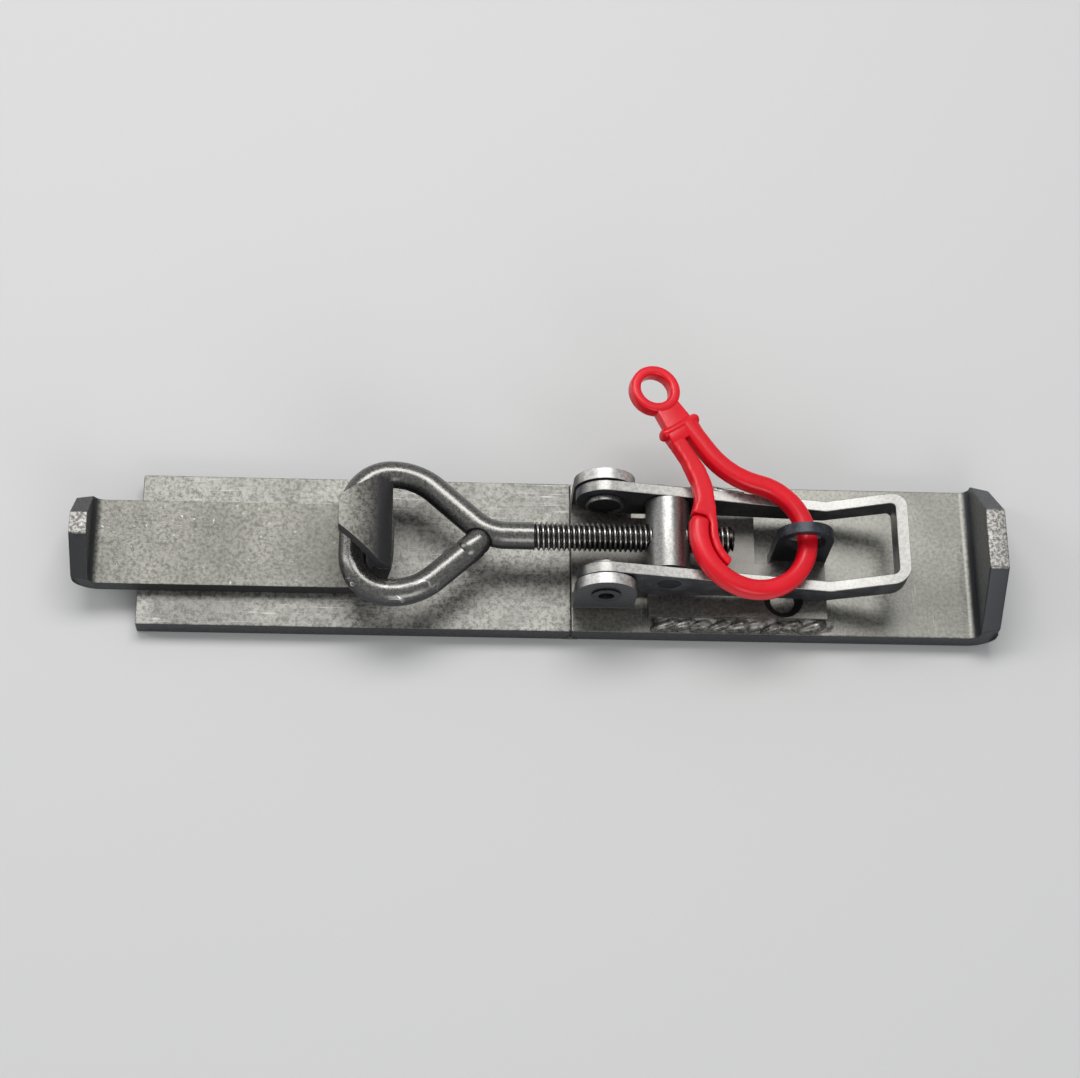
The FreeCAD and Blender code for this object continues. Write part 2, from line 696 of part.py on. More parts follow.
def check_and_write():
    """Stops on any failed object or bad shape, then writes one STEP file for each body."""
    DOC.recompute()
    for thing in DOC.Objects:
        if "Invalid" in thing.State or "Error" in thing.State:
            raise RuntimeError(f"{thing.Name} failed: {thing.State}")
    bodies = [o for o in DOC.Objects if o.TypeId == "PartDesign::Body"]
    for body in bodies:
        if body.Shape.isNull() or not body.Shape.isValid() or len(body.Shape.Solids) != 1:
            raise RuntimeError(f"{body.Label} has no single valid solid")
    os.makedirs("parts", exist_ok=True)
    for body in bodies:
        body.Shape.exportStep(f"parts/{body.Label}.step")
        print(f"{body.Label}: {body.Shape.Volume:.1f} mm3")


guide_bar()
jaw_bar()
butt_weld_seam()
slider_plate()
latch_base_plate()
weld_bead("weld_bead_front", "-1", "front_bead_start", "front_bead_end")
weld_bead("weld_bead_back", "1", "back_bead_start", "back_bead_end")
pivot_rivet("pivot_rivet_front", "-1")
pivot_rivet("pivot_rivet_back", "1")
lever()
barrel()
loop_rod()
snap_hook_body()
snap_hook_gate()
check_and_write()
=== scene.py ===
"""Clamp-bar coupler lock, finished: worn steel, cut thread, rippled welds and a red plastic snap hook.

Metres throughout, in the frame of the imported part. Small sizes are written as millimetres times MM.
"""
from math import cos, pi, radians, sin

import bmesh
import bpy
from mathutils import Matrix, Vector


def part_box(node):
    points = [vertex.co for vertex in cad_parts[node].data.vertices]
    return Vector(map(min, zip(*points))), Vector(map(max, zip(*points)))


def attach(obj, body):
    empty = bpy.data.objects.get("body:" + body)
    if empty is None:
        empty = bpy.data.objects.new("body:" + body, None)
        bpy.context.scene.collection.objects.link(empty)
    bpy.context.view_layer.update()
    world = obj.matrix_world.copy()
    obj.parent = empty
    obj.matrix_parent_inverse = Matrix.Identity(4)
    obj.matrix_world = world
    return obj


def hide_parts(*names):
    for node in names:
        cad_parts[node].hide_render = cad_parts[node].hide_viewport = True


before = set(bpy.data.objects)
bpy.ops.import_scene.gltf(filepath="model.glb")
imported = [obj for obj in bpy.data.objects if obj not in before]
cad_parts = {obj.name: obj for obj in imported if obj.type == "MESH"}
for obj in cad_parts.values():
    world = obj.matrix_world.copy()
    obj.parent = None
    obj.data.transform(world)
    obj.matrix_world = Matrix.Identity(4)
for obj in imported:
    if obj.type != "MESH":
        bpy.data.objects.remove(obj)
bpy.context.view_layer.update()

MM = 0.001
CRISP = radians(38)        # sharper edges stay crisp when a piece is shaded smooth
MERGE = 0.004 * MM         # corners nearer than this are one corner
FLAT = radians(0.6)        # faces that turn less than this are one face
SEAM = 0.01 * MM           # doubled corners along a drawn piece's seam

# ---------------------------------------------------------------- selection and edit mode


def take(piece):
    """Makes one piece the only selected and the active one."""
    bpy.ops.object.select_all(action="DESELECT")
    piece.select_set(True)
    bpy.context.view_layer.objects.active = piece


def open_mesh(piece):
    """Edit mode, with every corner selected."""
    take(piece)
    bpy.ops.object.mode_set(mode="EDIT")
    bpy.ops.mesh.select_mode(type="VERT")
    bpy.ops.mesh.select_all(action="SELECT")


def close_mesh():
    bpy.ops.object.mode_set(mode="OBJECT")


def select_faces(piece, wanted):
    """In edit mode, selects only the faces whose middle and normal pass the test."""
    bpy.ops.mesh.select_all(action="DESELECT")
    bpy.ops.mesh.select_mode(type="FACE")
    shape = bmesh.from_edit_mesh(piece.data)
    for face in shape.faces:
        if wanted(face.calc_center_median(), face.normal):
            face.select_set(True)
    bmesh.update_edit_mesh(piece.data)


def select_edges(piece, wanted):
    """In edit mode, selects only the edges whose middle and direction pass the test."""
    bpy.ops.mesh.select_all(action="DESELECT")
    bpy.ops.mesh.select_mode(type="EDGE")
    shape = bmesh.from_edit_mesh(piece.data)
    for edge in shape.edges:
        first, second = edge.verts
        if wanted((first.co + second.co) / 2, second.co - first.co):
            edge.select_set(True)
    bmesh.update_edit_mesh(piece.data)


def named(name):
    """Names the piece just added, and its mesh."""
    piece = bpy.context.active_object
    piece.name = name
    piece.data.name = name
    return piece


def settle(piece):
    """Puts the piece's place into its mesh, so that its object sits at the origin."""
    take(piece)
    bpy.ops.object.transform_apply(location=True, rotation=True, scale=True)


def apply_modifier(piece, kind, **settings):
    """Adds one modifier with its settings, and applies it at once."""
    take(piece)
    bpy.ops.object.modifier_add(type=kind)
    modifier = piece.modifiers[-1]
    for setting, value in settings.items():
        setattr(modifier, setting, value)
    bpy.ops.object.modifier_apply(modifier=modifier.name)


def break_edges(piece, width, segments=2, angle=40):
    """Rounds every edge sharper than the angle, and shades the rest smooth."""
    apply_modifier(piece, "BEVEL", width=width, segments=segments, limit_method="ANGLE",
                   angle_limit=radians(angle), use_clamp_overlap=True)
    take(piece)
    bpy.ops.object.shade_smooth_by_angle(angle=CRISP)
    apply_modifier(piece, "WEIGHTED_NORMAL", keep_sharp=True)


def face_outwards(piece):
    """Closes a piece's seams and turns its faces outwards."""
    open_mesh(piece)
    bpy.ops.mesh.remove_doubles(threshold=SEAM)
    bpy.ops.mesh.normals_make_consistent(inside=False)
    close_mesh()


def join(pieces, name):
    """One piece out of several; the first keeps its place in the list of objects."""
    bpy.ops.object.select_all(action="DESELECT")
    for piece in pieces:
        piece.select_set(True)
    bpy.context.view_layer.objects.active = pieces[0]
    bpy.ops.object.join()
    return named(name)


def copy_of(piece, name):
    """A copy with its own mesh."""
    twin = piece.copy()
    twin.data = piece.data.copy()
    twin.name = name
    bpy.context.scene.collection.objects.link(twin)
    return twin


def forged_copy(node, name):
    """A copy of a CAD node with its loose triangles merged into whole faces."""
    piece = copy_of(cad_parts[node], name)
    piece.parent = None
    for key in list(piece.keys()):
        del piece[key]
    piece.data.name = name
    piece.data.materials.clear()
    open_mesh(piece)
    bpy.ops.mesh.customdata_custom_splitnormals_clear()
    bpy.ops.mesh.remove_doubles(threshold=MERGE)
    bpy.ops.mesh.dissolve_limited(angle_limit=FLAT)
    close_mesh()
    return piece


def put_on(piece, body, slot, finish, *nodes):
    """Gives a piece its finish, its body and the CAD nodes that it stands for."""
    piece.data.materials.clear()
    piece.data.materials.append(finish)
    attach(piece, body)
    if nodes:
        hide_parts(*nodes)


# ---------------------------------------------------------------- finishes

# Colours are linear red, green and blue. A pair runs from the dark of a finish to its light.
GUIDE_TONES = (0.105, 0.102, 0.090), (0.40, 0.392, 0.358)
JAW_TONES = (0.145, 0.142, 0.125), (0.335, 0.33, 0.295)
SLIDER_TONES = (0.082, 0.079, 0.068), (0.305, 0.297, 0.262)
SHEET_TONES = (0.125, 0.118, 0.105), (0.255, 0.245, 0.225)
EAR_RIM_TONES = (0.42, 0.41, 0.39), (0.62, 0.61, 0.59)
# Painted shade: the eye's blue-black.
EYE_SHADE_TONES = (0.018, 0.02, 0.026), (0.075, 0.085, 0.10)
LEVER_EDGE_TONES = (0.24, 0.237, 0.222), (0.40, 0.395, 0.375)
# Painted shade: the lever's dark sides.
LEVER_SIDE_SHADE_TONES = (0.05, 0.053, 0.06), (0.09, 0.093, 0.10)
SHEARED_TONES = (0.12, 0.11, 0.10), (0.36, 0.35, 0.33)
BARREL_TONES = (0.17, 0.168, 0.16), (0.27, 0.267, 0.255)
# Painted shade for the rivets' dished heads; the next pair is a painted highlight for their rims.
RIVET_DISH_SHADE_TONES = (0.028, 0.029, 0.032), (0.062, 0.063, 0.066)
RIVET_RIM_HIGHLIGHT_TONES = (0.11, 0.109, 0.104), (0.21, 0.208, 0.198)
ROD_TONES = (0.12, 0.118, 0.11), (0.22, 0.216, 0.203)
CREST_TONES = (0.25, 0.243, 0.23), (0.46, 0.45, 0.43)
WELD_TONES = (0.05, 0.048, 0.044), (0.19, 0.183, 0.168)
RED_TONES = (0.66, 0.002, 0.012), (0.74, 0.003, 0.016)

SCRATCH = (0.62, 0.61, 0.58)
# Painted shade: the darker colours for the sides of the guide bar, the jaw and the slider, and for the jaw's
# inside face.
GUIDE_SIDE_SHADE = (0.055, 0.057, 0.063)
JAW_SIDE_SHADE = (0.05, 0.053, 0.06)
JAW_INSIDE_SHADE = (0.045, 0.045, 0.046)
SLIDER_SIDE_SHADE = (0.048, 0.049, 0.053)
SLIDER_SPECK = (0.60, 0.59, 0.56)
# Painted shade: the darker colour for the sheet's standing sides.
SHEET_SIDE_SHADE = (0.07, 0.073, 0.08)
# Painted shade in the screw's countersink.
COUNTERSINK_SHADE = (0.028, 0.027, 0.026)
LEVER_BLOTCH = (0.27, 0.25, 0.23)
# Partly a painted highlight: the barrel's light streaks.
BARREL_STREAK_AND_SHEEN = (0.24, 0.235, 0.22)
# Painted shade on the barrel's ends.
BARREL_END_SHADE = (0.04, 0.042, 0.048)
ROD_CLOUD = (0.17, 0.167, 0.16)
# Painted shade: the rod's downward faces.
ROD_UNDERSIDE_SHADE = (0.04, 0.042, 0.048)
ROD_RUB = (0.78, 0.77, 0.75)
# Painted shade: the gap round the rod's free end.
TIP_GAP_SHADE = (0.012, 0.012, 0.012)
# Painted shade for the thread's valleys.
VALLEY_SHADE = (0.05, 0.048, 0.045)
# Painted highlight for the weld ripples' upward faces.
WELD_TOP_HIGHLIGHT = (0.42, 0.41, 0.385)

SCREW_PLACE = (59.2 * MM, -12.7 * MM, 0)
SCREW_CONE_RADIUS = 5.5 * MM
RIVET_RIM_RADIUS = 4.6 * MM
BARREL_HALF = 10.5 * MM

# The colour sockets of a Mix node.
MIX_FIRST, MIX_SECOND, MIX_RESULT = 6, 7, 2


class Finish:
    """A material whose pattern is laid out in the object's own metres."""

    def __init__(self, name, metallic, roughness):
        self.material = bpy.data.materials.new(name)
        self.material.use_nodes = True
        self.nodes = self.material.node_tree.nodes
        self.links = self.material.node_tree.links
        self.shader = self.nodes["Principled BSDF"]
        self.shader.inputs["Metallic"].default_value = metallic
        self.shader.inputs["Roughness"].default_value = roughness
        self.places = self.nodes.new("ShaderNodeTexCoord")

    def stretched(self, scale, turn=(0, 0, 0)):
        mapping = self.nodes.new("ShaderNodeMapping")
        mapping.inputs["Scale"].default_value = scale
        mapping.inputs["Rotation"].default_value = turn
        self.links.new(self.places.outputs["Object"], mapping.inputs["Vector"])
        return mapping.outputs["Vector"]

    def noise(self, scale, detail=4, stretch=(1, 1, 1), turn=(0, 0, 0), roughness=0.6):
        texture = self.nodes.new("ShaderNodeTexNoise")
        texture.inputs["Scale"].default_value = scale
        texture.inputs["Detail"].default_value = detail
        texture.inputs["Roughness"].default_value = roughness
        self.links.new(self.stretched(stretch, turn), texture.inputs["Vector"])
        return texture.outputs["Fac"]

    def step(self, source, low, high, start=0.0, end=1.0):
        """A soft step from start to end while the source goes from low to high."""
        node = self.nodes.new("ShaderNodeMapRange")
        node.interpolation_type = "SMOOTHSTEP"
        node.inputs["From Min"].default_value = low
        node.inputs["From Max"].default_value = high
        node.inputs["To Min"].default_value = start
        node.inputs["To Max"].default_value = end
        self.links.new(source, node.inputs["Value"])
        return node.outputs["Result"]

    def combine(self, first, second, operation="MULTIPLY"):
        node = self.nodes.new("ShaderNodeMath")
        node.operation = operation
        node.use_clamp = True
        for socket, value in zip(node.inputs, (first, second)):
            if isinstance(value, (int, float)):
                socket.default_value = value
            else:
                self.links.new(value, socket)
        return node.outputs["Value"]

    def facing(self, axis):
        """How far the surface faces along an axis, from -1 to 1."""
        node = self.nodes.new("ShaderNodeSeparateXYZ")
        self.links.new(self.places.outputs["Normal"], node.inputs["Vector"])
        return node.outputs[axis]

    def along(self, axis):
        """The place along an axis, in metres."""
        node = self.nodes.new("ShaderNodeSeparateXYZ")
        self.links.new(self.places.outputs["Object"], node.inputs["Vector"])
        return node.outputs[axis]

    def distance(self, centre, axes):
        """How far a place is from a centre, measured only along the axes given as 1."""
        shifted = self.nodes.new("ShaderNodeVectorMath")
        shifted.operation = "SUBTRACT"
        shifted.inputs[1].default_value = centre
        self.links.new(self.places.outputs["Object"], shifted.inputs[0])
        kept = self.nodes.new("ShaderNodeVectorMath")
        kept.operation = "MULTIPLY"
        kept.inputs[1].default_value = axes
        self.links.new(shifted.outputs["Vector"], kept.inputs[0])
        length = self.nodes.new("ShaderNodeVectorMath")
        length.operation = "LENGTH"
        self.links.new(kept.outputs["Vector"], length.inputs[0])
        return length.outputs["Value"]

    def blend(self, amount, first, second):
        """Colour first turning to colour second by the amount; either may be a socket."""
        node = self.nodes.new("ShaderNodeMix")
        node.data_type = "RGBA"
        self.links.new(amount, node.inputs["Factor"])
        for socket, colour in ((node.inputs[MIX_FIRST], first), (node.inputs[MIX_SECOND], second)):
            if isinstance(colour, tuple):
                socket.default_value = colour + (1,)
            else:
                self.links.new(colour, socket)
        return node.outputs[MIX_RESULT]

    def bump(self, height, strength, depth):
        node = self.nodes.new("ShaderNodeBump")
        node.inputs["Strength"].default_value = strength
        node.inputs["Distance"].default_value = depth
        self.links.new(height, node.inputs["Height"])
        self.links.new(node.outputs["Normal"], self.shader.inputs["Normal"])

    def colour(self, source):
        self.links.new(source, self.shader.inputs["Base Color"])

    def roughness(self, source):
        self.links.new(source, self.shader.inputs["Roughness"])


def mill_scale(finish, tones, grain, stain):
    """Speckled mill-finish steel: fine grain over broad cloudy stains."""
    dark, light = tones
    fine = finish.noise(grain, detail=6, roughness=0.75)
    base = finish.blend(finish.step(fine, 0.36, 0.62), dark, light)
    shade = finish.step(finish.noise(stain, detail=5), 0.35, 0.7, 0.0, 0.45)
    stained = tuple(0.55 * part for part in dark)
    return finish.blend(shade, base, stained), fine


def add_scratches(finish, colour, direction, amount, turn=(0, 0, 0)):
    """Fine bright scratches running along the direction in which the pattern is drawn out."""
    lines = finish.noise(2600, detail=4, stretch=direction, turn=turn, roughness=0.6)
    patches = finish.noise(70, detail=4)
    cut = finish.combine(finish.step(lines, 0.56, 0.70), finish.step(patches, 0.40, 0.66))
    return finish.blend(finish.combine(cut, amount), colour, SCRATCH)


def finish_guide_bar():
    finish = Finish("scratched_bar_steel", 0.65, 0.42)
    colour, fine = mill_scale(finish, GUIDE_TONES, grain=900, stain=45)
    colour = add_scratches(finish, colour, direction=(0.035, 1.0, 1.0), amount=0.75)
    # Painted shade on the bar's sides.
    colour = painted_shade_sides(finish, colour, GUIDE_SIDE_SHADE, 0.3, 0.7)
    finish.colour(colour)
    finish.roughness(finish.step(fine, 0.3, 0.7, 0.34, 0.55))
    uneven = finish.combine(finish.noise(45, detail=5), 0.6)
    finish.bump(finish.combine(fine, uneven, "ADD"), strength=0.6, depth=0.2 * MM)
    return finish.material


def painted_shade_sides(finish, colour, shade, low, high):
    """Painted shade: the sawn and sheared sides are coloured darker than the rolled top, where less light
    falls on them.
    """
    upward = finish.step(finish.facing("Z"), low, high)
    return finish.blend(upward, shade, colour)


def sheared_top(finish, colour, level, ceiling=1.0):
    """The jaw's top end, left coarse and bright by the shear."""
    coarse = finish.noise(1100, detail=3, roughness=0.7)
    torn = finish.blend(finish.step(coarse, 0.42, 0.58), *SHEARED_TONES)
    height = finish.along("Z")
    band = finish.combine(finish.step(height, level, level + 0.1 * MM),
                          finish.step(height, ceiling, ceiling + 0.1 * MM, 1.0, 0.0))
    return finish.blend(band, colour, torn)


def finish_jaw_bar():
    finish = Finish("smooth_bar_steel", 0.65, 0.4)
    colour, fine = mill_scale(finish, JAW_TONES, grain=1000, stain=32)
    colour = add_scratches(finish, colour, direction=(1.0, 0.05, 1.0), amount=0.35, turn=(0, 0, 0.15))
    # Painted shade: the jaw's inside face and its sides are coloured darker, where less light falls on them.
    inward = finish.step(finish.combine(finish.facing("X"), -1), 0.5, 0.9)
    colour = finish.blend(inward, colour, JAW_INSIDE_SHADE)
    colour = painted_shade_sides(finish, colour, JAW_SIDE_SHADE, 0.62, 0.93)
    colour = sheared_top(finish, colour, level=25 * MM)
    finish.colour(colour)
    finish.roughness(finish.step(fine, 0.3, 0.7, 0.32, 0.5))
    finish.bump(fine, strength=0.22, depth=0.1 * MM)
    return finish.material


def finish_slider():
    finish = Finish("slider_strip_steel", 0.65, 0.42)
    colour, fine = mill_scale(finish, SLIDER_TONES, grain=950, stain=38)
    specks = finish.noise(800, detail=2, roughness=0.5)
    colour = finish.blend(finish.step(specks, 0.69, 0.78, 0.0, 0.6), colour, SLIDER_SPECK)
    colour = add_scratches(finish, colour, direction=(0.2, 1.0, 1.0), amount=0.4)
    # Painted shade on the slider's sides.
    colour = painted_shade_sides(finish, colour, SLIDER_SIDE_SHADE, 0.62, 0.93)
    colour = sheared_top(finish, colour, level=23.2 * MM, ceiling=25 * MM)
    finish.colour(colour)
    finish.roughness(finish.step(fine, 0.3, 0.7, 0.34, 0.55))
    finish.bump(fine, strength=0.55, depth=0.18 * MM)
    return finish.material


def finish_latch_sheet(eye_left, eye_foot):
    """Plain on the flat, bright on the ears' rims, with painted shade: dark on the ears' standing sides,
    blue-black over the eye and dark in the screw's countersink.
    """
    finish = Finish("folded_sheet_steel", 0.65, 0.42)
    colour, fine = mill_scale(finish, SHEET_TONES, grain=1000, stain=50)
    upward = finish.step(finish.facing("Z"), 0.35, 0.8)
    raised = finish.step(finish.along("Z"), eye_foot + 8 * MM, eye_foot + 12 * MM)
    worn = finish.combine(upward, raised)
    bright = finish.blend(finish.step(fine, 0.4, 0.6), *EAR_RIM_TONES)
    colour = finish.blend(worn, colour, bright)
    # Painted shade: the ears' standing sides are darkened.
    standing = finish.step(finish.along("Z"), eye_foot + 1.0 * MM, eye_foot + 3.0 * MM)
    sideways = finish.combine(finish.step(finish.facing("Z"), 0.2, 0.5, 1.0, 0.0), standing)
    colour = finish.blend(sideways, colour, SHEET_SIDE_SHADE)
    # Painted shade: the eye is coloured blue-black.
    at_eye = finish.step(finish.along("X"), eye_left - 0.5 * MM, eye_left + 0.5 * MM)
    eye = finish.combine(at_eye, finish.step(finish.along("Z"), eye_foot + 0.4 * MM, eye_foot + 1 * MM))
    edge = finish.combine(eye, finish.step(fine, 0.45, 0.65, 0.2, 0.8))
    eye_shade = finish.blend(edge, *EYE_SHADE_TONES)
    colour = finish.blend(eye, colour, eye_shade)
    # Painted shade inside the screw's countersink.
    from_screw = finish.distance(SCREW_PLACE, (1, 1, 0))
    in_cone = finish.step(from_screw, SCREW_CONE_RADIUS - 0.05 * MM, SCREW_CONE_RADIUS + 0.05 * MM, 1.0, 0.0)
    colour = finish.blend(in_cone, colour, COUNTERSINK_SHADE)
    finish.colour(colour)
    finish.roughness(finish.step(fine, 0.3, 0.7, 0.32, 0.52))
    finish.bump(fine, strength=0.25, depth=0.09 * MM)
    return finish.material


def finish_lever():
    """Bright on the strip's upturned edge; on its sides, painted shade, dark and blotched."""
    finish = Finish("lever_strip_steel", 0.75, 0.40)
    fine = finish.noise(850, detail=6, roughness=0.8)
    blotch = finish.noise(230, detail=4)
    bright = finish.blend(finish.step(fine, 0.42, 0.58), *LEVER_EDGE_TONES)
    bright = finish.blend(finish.step(blotch, 0.54, 0.72, 0.0, 0.55), bright, LEVER_BLOTCH)
    upward = finish.step(finish.facing("Z"), 0.45, 0.85)
    # Painted shade for the strip's sides.
    shade = finish.blend(finish.step(blotch, 0.4, 0.65), *LEVER_SIDE_SHADE_TONES)
    finish.colour(finish.blend(upward, shade, bright))
    finish.roughness(finish.step(fine, 0.3, 0.7, 0.28, 0.5))
    finish.bump(fine, strength=0.3, depth=0.1 * MM)
    return finish.material


def finish_turned():
    """Satin turned steel, with faint light streaks along the barrel that are partly drawn marks and partly a
    painted highlight, and painted shade on its ends.
    """
    finish = Finish("turned_barrel_steel", 0.9, 0.34)
    fine = finish.noise(1500, detail=5, roughness=0.7)
    drawn = finish.noise(700, detail=3, stretch=(1.0, 0.08, 1.0))
    colour = finish.blend(finish.step(fine, 0.35, 0.6), *BARREL_TONES)
    # Light streaks along the barrel, partly a painted highlight.
    colour = finish.blend(finish.step(drawn, 0.52, 0.7, 0.0, 0.4), colour, BARREL_STREAK_AND_SHEEN)
    # Painted shade on the barrel's end faces.
    from_middle = finish.distance((0, 0, 0), (0, 1, 0))
    outer_end = finish.step(from_middle, BARREL_HALF - 0.1 * MM, BARREL_HALF + 0.1 * MM)
    colour = finish.blend(outer_end, colour, BARREL_END_SHADE)
    finish.colour(colour)
    finish.roughness(finish.step(drawn, 0.3, 0.7, 0.28, 0.42))
    finish.bump(fine, strength=0.2, depth=0.06 * MM)
    return finish.material


def finish_rivet(pivot):
    """Dished heads painted dark as shade, with a painted highlight on their rims."""
    finish = Finish("rivet_steel", 0.85, 0.33)
    fine = finish.noise(1500, detail=5, roughness=0.7)
    speckle = finish.step(fine, 0.35, 0.65)
    # Painted shade in the dished heads, painted highlight on their rims.
    dish = finish.blend(speckle, *RIVET_DISH_SHADE_TONES)
    rim = finish.blend(speckle, *RIVET_RIM_HIGHLIGHT_TONES)
    from_pivot = finish.distance(pivot, (1, 0, 1))
    at_rim = finish.step(from_pivot, RIVET_RIM_RADIUS - 0.15 * MM, RIVET_RIM_RADIUS + 0.15 * MM)
    finish.colour(finish.blend(at_rim, dish, rim))
    finish.roughness(finish.step(fine, 0.3, 0.7, 0.26, 0.42))
    finish.bump(fine, strength=0.2, depth=0.05 * MM)
    return finish.material


def finish_rod(name, loop_left, tip=None):
    """Dark drawn rod, with painted shade darkening the faces that turn downwards, and squiggly bright rubs
    low on the front of the loop.

    Where the free end lies on the shank, given as tip, a dark ring of painted shade is laid round it, for
    the gap between them.
    """
    finish = Finish(name, 0.85, 0.3)
    fine = finish.noise(1300, detail=5, roughness=0.7)
    cloudy = finish.noise(90, detail=4)
    colour = finish.blend(finish.step(fine, 0.35, 0.65), *ROD_TONES)
    colour = finish.blend(finish.step(cloudy, 0.45, 0.7, 0.0, 0.5), colour, ROD_CLOUD)
    # Painted shade where the rod faces downwards.
    upward = finish.step(finish.facing("Z"), 0.15, 0.85)
    colour = finish.blend(upward, ROD_UNDERSIDE_SHADE, colour)
    squiggle = finish.noise(210, detail=1, stretch=(0.5, 1.0, 1.0), turn=(0.3, 0.2, 0.5))
    line = finish.combine(finish.step(squiggle, 0.485, 0.497),
                          finish.step(squiggle, 0.503, 0.515, 1.0, 0.0))
    broken = finish.noise(120, detail=2)
    line = finish.combine(line, finish.step(broken, 0.45, 0.6))
    front = finish.step(finish.along("Y"), -16 * MM, -13 * MM, 1.0, 0.0)
    near_curl = finish.step(finish.along("X"), loop_left + 20 * MM, loop_left + 30 * MM, 1.0, 0.0)
    rubbed = finish.combine(line, finish.combine(front, near_curl))
    colour = finish.blend(rubbed, colour, ROD_RUB)
    if tip:
        # Painted shade: a dark ring round the free end, in the gap against the shank.
        gap_shade = finish.step(finish.distance(tip, (1, 1, 1)), 4.0 * MM, 4.45 * MM, 1.0, 0.0)
        colour = finish.blend(gap_shade, colour, TIP_GAP_SHADE)
    finish.colour(colour)
    finish.roughness(finish.step(fine, 0.3, 0.7, 0.2, 0.34))
    finish.bump(fine, strength=0.22, depth=0.07 * MM)
    return finish.material


def finish_thread(rise, crest, root):
    """Cut thread: bright at the crests, with painted shade darkening the valleys."""
    finish = Finish("cut_thread_steel", 0.92, 0.3)
    out = finish.distance((0, 0, rise), (0, 1, 1))
    height = finish.step(out, root + 0.15 * MM, crest - 0.12 * MM)
    fine = finish.noise(1600, detail=4)
    bright = finish.blend(finish.step(fine, 0.35, 0.65), *CREST_TONES)
    # Painted shade in the thread's valleys.
    finish.colour(finish.blend(height, VALLEY_SHADE, bright))
    finish.roughness(finish.step(fine, 0.3, 0.7, 0.22, 0.4))
    return finish.material


def finish_weld():
    """Weld metal: dark oxide, with a patchy painted highlight on the ripples' upward faces."""
    finish = Finish("rippled_weld_metal", 0.8, 0.36)
    fine = finish.noise(900, detail=5, roughness=0.75)
    spatter = finish.noise(380, detail=3)
    colour = finish.blend(finish.step(fine, 0.38, 0.62), *WELD_TONES)
    # Painted highlight on the upward faces of the ripples, in patches.
    upward = finish.step(finish.facing("Z"), 0.55, 0.95, 0.0, 0.8)
    top_highlight = finish.combine(upward, finish.step(spatter, 0.45, 0.6))
    finish.colour(finish.blend(top_highlight, colour, WELD_TOP_HIGHLIGHT))
    finish.roughness(finish.step(fine, 0.3, 0.7, 0.25, 0.5))
    finish.bump(fine, strength=0.4, depth=0.15 * MM)
    return finish.material


def finish_red_plastic():
    """Glossy moulded plastic with the faintest flow marks."""
    finish = Finish("moulded_red_plastic", 0.0, 0.32)
    cloudy = finish.noise(60, detail=2)
    fine = finish.noise(700, detail=2)
    finish.colour(finish.blend(finish.step(cloudy, 0.35, 0.65), *RED_TONES))
    finish.roughness(finish.step(fine, 0.3, 0.7, 0.28, 0.38))
    finish.bump(fine, strength=0.06, depth=0.05 * MM)
    finish.shader.inputs["Specular IOR Level"].default_value = 0.42
    return finish.material


# ---------------------------------------------------------------- bars and slider


BAR_EDGE = 0.45 * MM       # how far sawn and sheared edges are broken
JAW_EDGE = 0.5 * MM
JAW_BEND_TOP = 11 * MM     # below these heights lies the outside of each jaw's bend
SLIDER_BEND_TOP = 14 * MM
BEND_WIDTH = 0.945         # the share of the strip's width that is left there


def narrow_outer_bend(piece, face, top):
    """Bending draws the strip in on the outside of a jaw's bend."""
    open_mesh(piece)
    bpy.ops.mesh.select_all(action="DESELECT")
    shape = bmesh.from_edit_mesh(piece.data)
    for corner in shape.verts:
        if abs(corner.co.x - face) < 0.2 * MM and corner.co.z < top:
            corner.select_set(True)
    bmesh.update_edit_mesh(piece.data)
    bpy.ops.transform.resize(value=(1, BEND_WIDTH, 1), center_override=(face, 0, 0))
    close_mesh()


def bars():
    guide = forged_copy("guide_bar", "guide_bar_sawn")
    break_edges(guide, BAR_EDGE)
    put_on(guide, "base_bar", "bar_steel", finish_guide_bar(), "guide_bar")
    jaw = forged_copy("jaw_bar", "jaw_bar_bent")
    narrow_outer_bend(jaw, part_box("jaw_bar")[1].x, JAW_BEND_TOP)
    break_edges(jaw, JAW_EDGE)
    put_on(jaw, "base_bar", "bar_steel", finish_jaw_bar(), "jaw_bar")
    slider = forged_copy("slider_plate", "slider_strip")
    narrow_outer_bend(slider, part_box("slider_plate")[0].x, SLIDER_BEND_TOP)
    break_edges(slider, BAR_EDGE)
    put_on(slider, "slider", "bar_steel", finish_slider(), "slider_plate")


# ---------------------------------------------------------------- latch base and welds


SHEET_EDGE = 0.35 * MM     # how far the folded sheet's and the lever's edges are broken
EYE_REACH = 15.6 * MM      # from the eye's left side to the sheet's right end
EYE_FOOT = 3.1 * MM        # the flat's upper face, above its lower one

RIPPLE_LENGTH = 9.4 * MM
RIPPLE_SPACING = 5.1 * MM
BEAD_LEAD = 4 * MM         # from the bead's start to the middle of its first ripple
BEAD_ENDS = 7 * MM         # the length of bead that carries no ripple's middle


def latch_base():
    sheet = forged_copy("latch_base_plate", "latch_base_folded")
    break_edges(sheet, SHEET_EDGE)
    low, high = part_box("latch_base_plate")
    finish = finish_latch_sheet(high.x - EYE_REACH, low.z + EYE_FOOT)
    put_on(sheet, "base_bar", "sheet_steel", finish, "latch_base_plate")


def weld_ripple(name, length, reach, height):
    """One frozen ripple: a flat-bottomed drop, fatter at the end laid last."""
    bpy.ops.mesh.primitive_uv_sphere_add(segments=20, ring_count=12, radius=1)
    ripple = named(name)
    open_mesh(ripple)
    bpy.ops.transform.resize(value=(length / 2, reach / 2, height))
    bpy.ops.mesh.bisect(plane_co=(0, 0, 0), plane_no=(0, 0, 1), use_fill=True, clear_inner=True)
    select_faces(ripple, lambda middle, normal: middle.x > length / 8)
    bpy.ops.transform.resize(value=(0.85, 1.12, 1.08))
    close_mesh()
    return ripple


